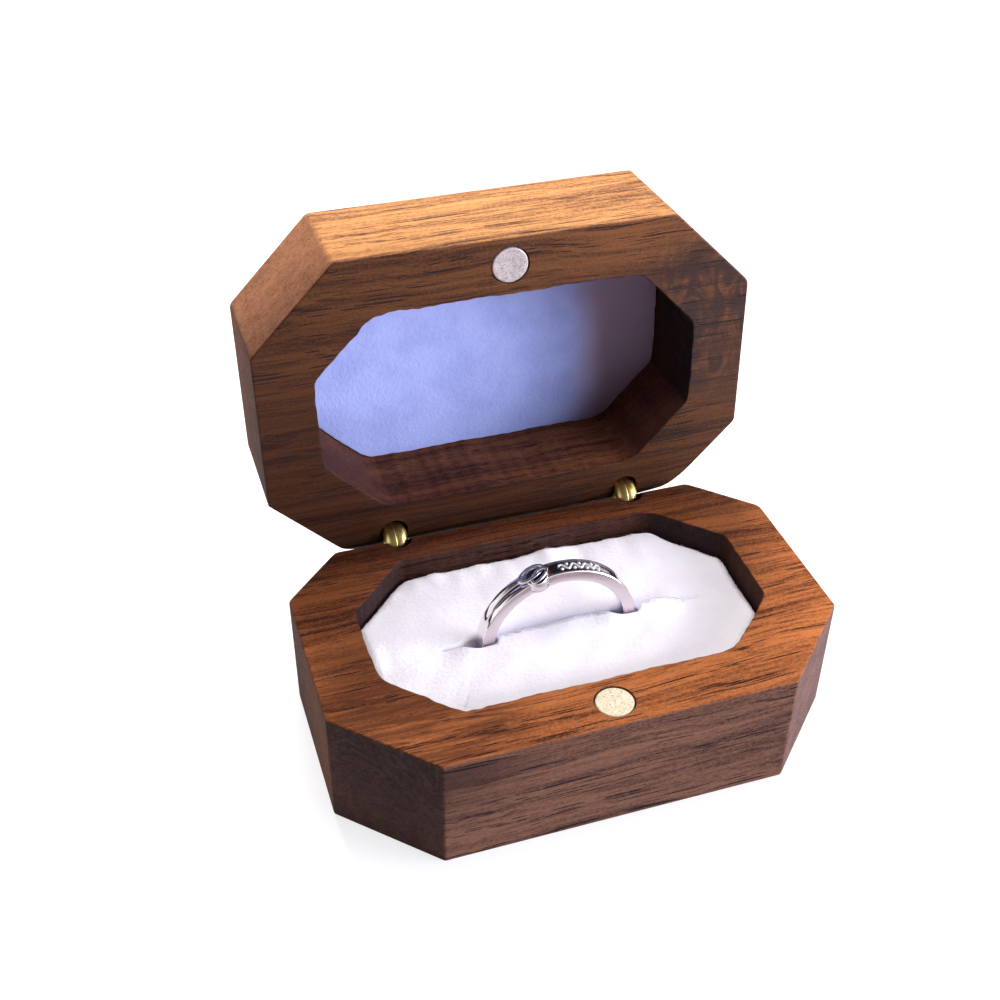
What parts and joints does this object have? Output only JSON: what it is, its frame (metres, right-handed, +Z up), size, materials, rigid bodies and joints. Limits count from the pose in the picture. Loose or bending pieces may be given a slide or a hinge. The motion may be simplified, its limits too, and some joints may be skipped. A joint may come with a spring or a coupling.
{
  "type": "ring display box",
  "caption": "Eight-sided walnut ring box shown open, with a slit velvet cushion holding a ring, brass barrel hinges and magnets set in both rims.",
  "frame": {"origin": "centre of the base's flat underside", "axes": "+X along the length, +Y towards the hinge side, +Z up; the lid stands open at rest"},
  "size_m": [0.07, 0.0635, 0.0601],
  "materials": {
    "walnut": "oiled walnut, satin, open grain",
    "brass": "turned and polished",
    "nickel": "nickel plate, slightly speckled",
    "velvet": "short white nap",
    "foam": "cut foam, hidden",
    "card": "stiff card, hidden",
    "silver": "polished silver"
  },
  "bodies": {
    "base": {"base_block": "walnut", "base_magnet": "nickel", "hinge_barrel_base_left": "brass", "hinge_barrel_base_right": "brass", "hinge_pin_base_left": "brass", "hinge_pin_base_right": "brass", "cushion_card": "card", "cushion_foam": "foam", "cushion_velvet": "velvet"},
    "hinge_links": {"hinge_link_left_outer": "brass", "hinge_link_left_inner": "brass", "hinge_link_right_inner": "brass", "hinge_link_right_outer": "brass"},
    "lid": {"lid_block": "walnut", "lid_magnet": "nickel", "hinge_barrel_lid_left": "brass", "hinge_barrel_lid_right": "brass", "hinge_pin_lid_left": "brass", "hinge_pin_lid_right": "brass", "lid_card": "card", "lid_velvet": "velvet"},
    "ring": {"ring": "silver"}
  },
  "joints": [
    {"name": "link_turn", "type": "hinge", "parent": "base", "child": "hinge_links", "pos_m": [0, 0.0198, 0.01585], "axis": [1, 0, 0], "range_deg": [0, 66]},
    {"name": "lid_turn", "type": "hinge", "parent": "hinge_links", "child": "lid", "pos_m": [0, 0.02313, 0.01733], "axis": [1, 0, 0], "range_deg": [0, 27.3]},
    {"name": "ring_lift", "type": "slide", "parent": "base", "child": "ring", "axis": [0, 0, 1], "range_m": [0, 0.036]}
  ],
  "couplings": [
    {"joint": "lid_turn", "follows": "link_turn", "ratio": 0.41364}
  ]
}
